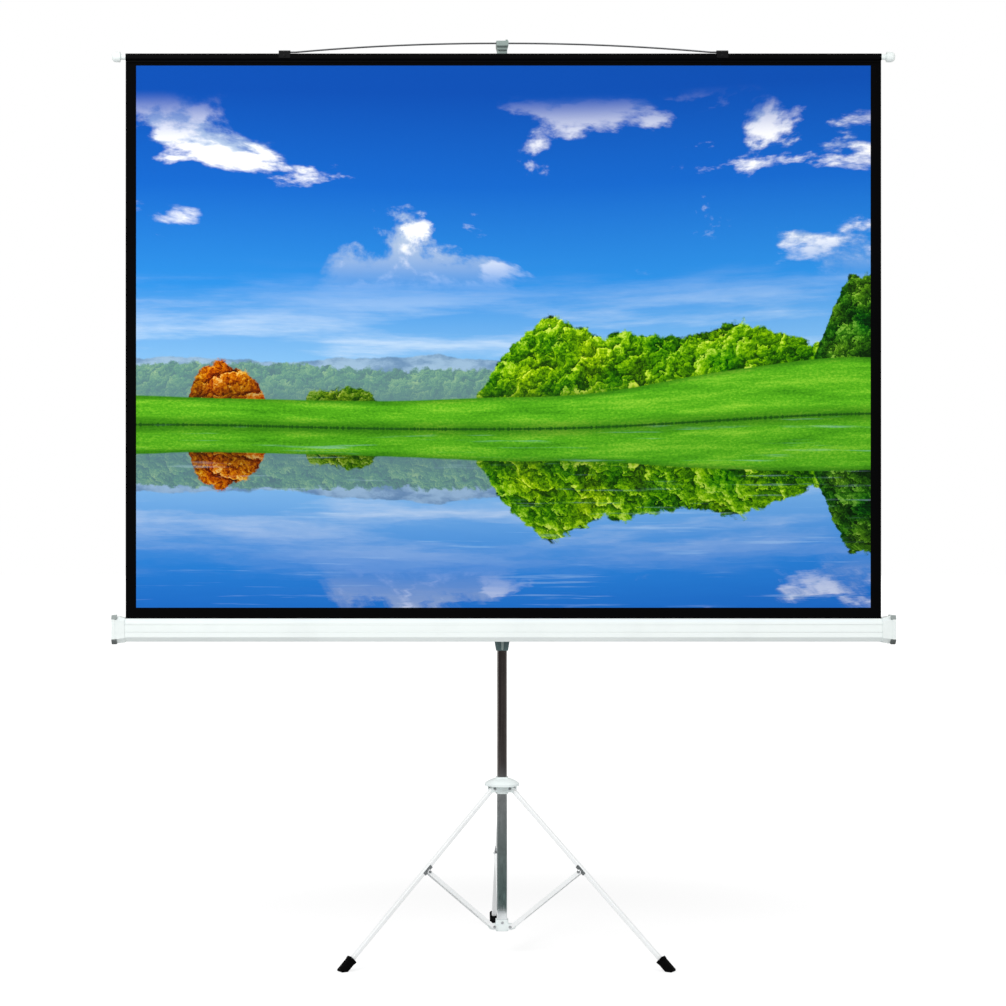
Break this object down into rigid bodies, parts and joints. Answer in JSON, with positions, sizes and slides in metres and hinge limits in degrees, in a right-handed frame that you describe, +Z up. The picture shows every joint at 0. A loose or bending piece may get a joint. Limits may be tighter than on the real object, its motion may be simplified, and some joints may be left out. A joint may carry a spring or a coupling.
{
  "type": "projection screen",
  "caption": "Portable pull-up projection screen on a folding tripod: spring-roller case, sliding mast with a hook, wire bail, clamp knobs and rubber feet.",
  "frame": {"origin": "on the floor, under the middle of the footprint's bounding box", "axes": "+Z up, +X to the viewer's right along the case, the picture side faces -Y"},
  "size_m": [1.817, 0.6641, 2.1499],
  "materials": {
    "chromed_steel": "polished chrome plate",
    "white_nylon": "moulded white nylon, satin",
    "zinc_steel": "bright zinc-plated steel",
    "black_rubber": "matt black rubber",
    "case_enamel": "pale mint-white enamel on aluminium",
    "white_powder_coat": "white powder coat on steel",
    "pale_abs": "moulded pale ABS, satin",
    "dark_wire": "drawn wire with a thin dark plate",
    "grey_green_nylon": "moulded grey-green nylon, satin",
    "black_nylon": "moulded black nylon, satin",
    "pale_nylon": "moulded pale grey-green nylon, satin",
    "black_enamel": "black enamel",
    "screen_cloth": "matt white coated cloth with black borders",
    "grey_plate": "zinc-plated sheet steel",
    "spring_steel": "oiled spring steel",
    "raw_aluminium": "mill-finish aluminium tube"
  },
  "bodies": {
    "stand": {"main_tube": "chromed_steel", "lower_hub": "white_nylon", "lower_hub_screw": "zinc_steel", "lower_rivet_shanks": "zinc_steel", "hub_stop_rivet": "zinc_steel", "mast_collar": "black_nylon"},
    "leg_hub": {"sliding_hub": "white_nylon", "leg_rivets": "zinc_steel"},
    "carrier": {"carrier_sleeve": "grey_green_nylon", "swivel_bolt": "zinc_steel", "swivel_washer": "black_nylon"},
    "carrier_knob": {"carrier_knob": "black_nylon", "carrier_knob_stud": "zinc_steel"},
    "mast_knob": {"mast_knob": "black_nylon", "mast_knob_stud": "zinc_steel"},
    "case": {"case_shell": "case_enamel", "left_end_cap": "pale_abs", "right_end_cap": "pale_abs", "end_cap_rivets": "zinc_steel", "swivel_plate": "grey_plate", "swivel_plate_rivets": "zinc_steel", "spring_shaft": "zinc_steel", "torsion_spring": "spring_steel", "screen_fabric": "screen_cloth"},
    "roller": {"roller_tube": "raw_aluminium", "wound_fabric": "screen_cloth", "idle_plug": "black_nylon", "spring_plug": "black_nylon", "spring_anchor": "black_nylon"},
    "slat": {"slat_bar": "black_enamel", "left_slat_knob": "pale_abs", "right_slat_knob": "pale_abs", "bail_clips": "black_nylon", "bail_clip_rivets": "zinc_steel"},
    "bail": {"bail_wire": "dark_wire"},
    "mast": {"mast_tube": "chromed_steel", "hook_cap": "pale_nylon", "hook_cap_screw": "zinc_steel"},
    "left_leg": {"left_leg_tube": "white_powder_coat", "left_brace_bracket": "zinc_steel", "left_foot": "black_rubber", "left_brace_rivet": "zinc_steel"},
    "left_brace": {"left_brace": "white_powder_coat", "left_brace_rivet_heads": "zinc_steel"},
    "right_leg": {"right_leg_tube": "white_powder_coat", "right_brace_bracket": "zinc_steel", "right_foot": "black_rubber", "right_brace_rivet": "zinc_steel"},
    "right_brace": {"right_brace": "white_powder_coat", "right_brace_rivet_heads": "zinc_steel"},
    "rear_leg": {"rear_leg_tube": "white_powder_coat", "rear_brace_bracket": "zinc_steel", "rear_foot": "black_rubber", "rear_brace_rivet": "zinc_steel"},
    "rear_brace": {"rear_brace": "white_powder_coat", "rear_brace_rivet_heads": "zinc_steel"}
  },
  "joints": [
    {"name": "leg_hub_slide", "type": "slide", "parent": "stand", "child": "leg_hub", "axis": [0, 0, 1], "range_m": [0, 0.1559]},
    {"name": "left_leg_hinge", "type": "hinge", "parent": "leg_hub", "child": "left_leg", "pos_m": [-0.02252, -0.11797, 0.391], "axis": [0.5, -0.866, 0], "range_deg": [0, 44]},
    {"name": "left_brace_hinge", "type": "hinge", "parent": "left_leg", "child": "left_brace", "pos_m": [-0.17531, -0.20619, 0.2095], "axis": [0.5, -0.866, 0], "range_deg": [-94.86, 0]},
    {"name": "right_leg_hinge", "type": "hinge", "parent": "leg_hub", "child": "right_leg", "pos_m": [0.02252, -0.11797, 0.391], "axis": [0.5, 0.866, 0], "range_deg": [0, 44]},
    {"name": "right_brace_hinge", "type": "hinge", "parent": "right_leg", "child": "right_brace", "pos_m": [0.17531, -0.20619, 0.2095], "axis": [0.5, 0.866, 0], "range_deg": [-94.86, 0]},
    {"name": "rear_leg_hinge", "type": "hinge", "parent": "leg_hub", "child": "rear_leg", "pos_m": [0, -0.07897, 0.391], "axis": [-1, 0, 0], "range_deg": [0, 44]},
    {"name": "rear_brace_hinge", "type": "hinge", "parent": "rear_leg", "child": "rear_brace", "pos_m": [0, 0.09746, 0.2095], "axis": [-1, 0, 0], "range_deg": [-94.86, 0]},
    {"name": "carrier_slide", "type": "slide", "parent": "stand", "child": "carrier", "axis": [0, 0, 1], "range_m": [-0.28, 0.4]},
    {"name": "carrier_knob_hinge", "type": "hinge", "parent": "carrier", "child": "carrier_knob", "pos_m": [0, -0.07497, 0.792], "axis": [0, 1, 0], "range_deg": [0, 360]},
    {"name": "case_swivel", "type": "hinge", "parent": "carrier", "child": "case", "pos_m": [0, -0.13497, 0.765], "axis": [0, 1, 0], "range_deg": [0, 50]},
    {"name": "screen_slide", "type": "slide", "parent": "case", "child": "slat", "axis": [0, 0, 1], "range_m": [-1.2909, 0], "deforming": ["screen_fabric"]},
    {"name": "roller_hinge", "type": "hinge", "parent": "case", "child": "roller", "pos_m": [0, -0.15717, 0.765], "axis": [1, 0, 0], "range_deg": [0, 4567]},
    {"name": "bail_hinge", "type": "hinge", "parent": "slat", "child": "bail", "pos_m": [0, -0.17172, 2.1066], "axis": [1, 0, 0], "range_deg": [0, 150]},
    {"name": "mast_slide", "type": "slide", "parent": "stand", "child": "mast", "axis": [0, 0, 1], "range_m": [-0.84, 0]},
    {"name": "mast_knob_hinge", "type": "hinge", "parent": "stand", "child": "mast_knob", "pos_m": [0, -0.07497, 1.241], "axis": [0, 1, 0], "range_deg": [0, 360]}
  ],
  "couplings": [
    {"joint": "left_leg_hinge", "follows": "leg_hub_slide", "rad_per_m": 4.9259},
    {"joint": "left_brace_hinge", "follows": "leg_hub_slide", "rad_per_m": -10.62},
    {"joint": "right_leg_hinge", "follows": "leg_hub_slide", "rad_per_m": 4.9259},
    {"joint": "right_brace_hinge", "follows": "leg_hub_slide", "rad_per_m": -10.62},
    {"joint": "rear_leg_hinge", "follows": "leg_hub_slide", "rad_per_m": 4.9259},
    {"joint": "rear_brace_hinge", "follows": "leg_hub_slide", "rad_per_m": -10.62},
    {"joint": "roller_hinge", "follows": "screen_slide", "rad_per_m": -61.728}
  ]
}
